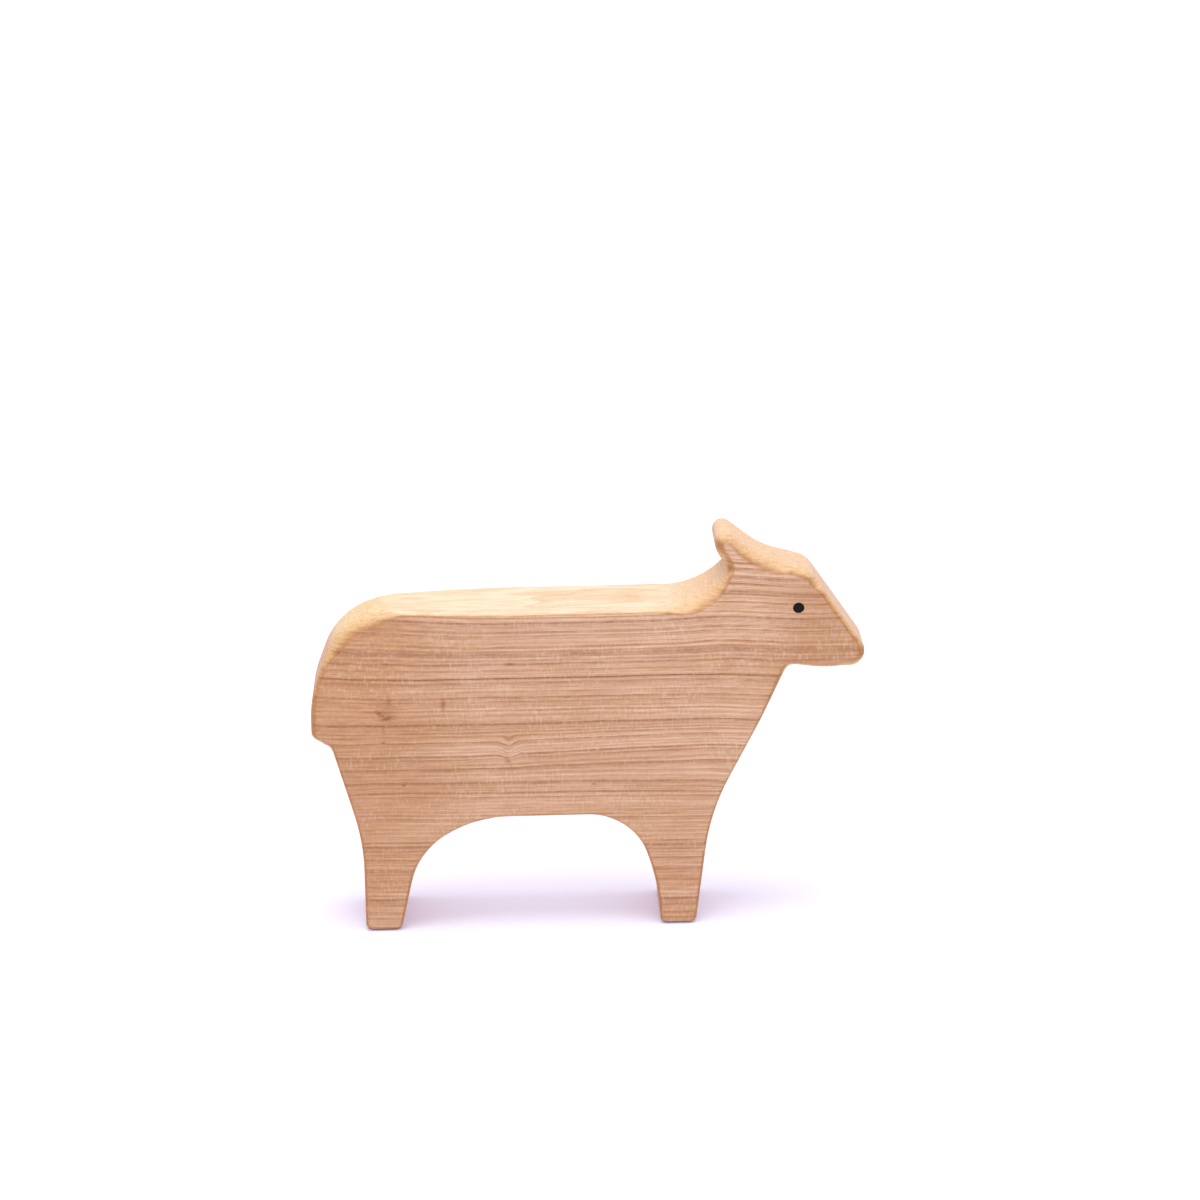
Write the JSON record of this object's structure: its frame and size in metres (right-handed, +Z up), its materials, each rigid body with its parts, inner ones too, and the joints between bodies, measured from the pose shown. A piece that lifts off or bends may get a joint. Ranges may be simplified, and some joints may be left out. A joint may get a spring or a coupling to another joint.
{
  "type": "sheep figurine",
  "caption": "Flat wooden sheep figurine sawn from a board, standing on broad feet with an arched belly, a raised ear and dark pegged eyes; a shelf ornament or toy.",
  "frame": {"origin": "on the ground, under the middle of the figurine's length and thickness", "axes": "+X the way the sheep faces, +Y through the board towards its left side, +Z up"},
  "size_m": [0.12, 0.02, 0.0882],
  "materials": {
    "oiled_wood": "satin",
    "stained_wood": "satin"
  },
  "bodies": {
    "root": {"body": "oiled_wood", "left_eye": "stained_wood", "right_eye": "stained_wood"}
  },
  "joints": []
}
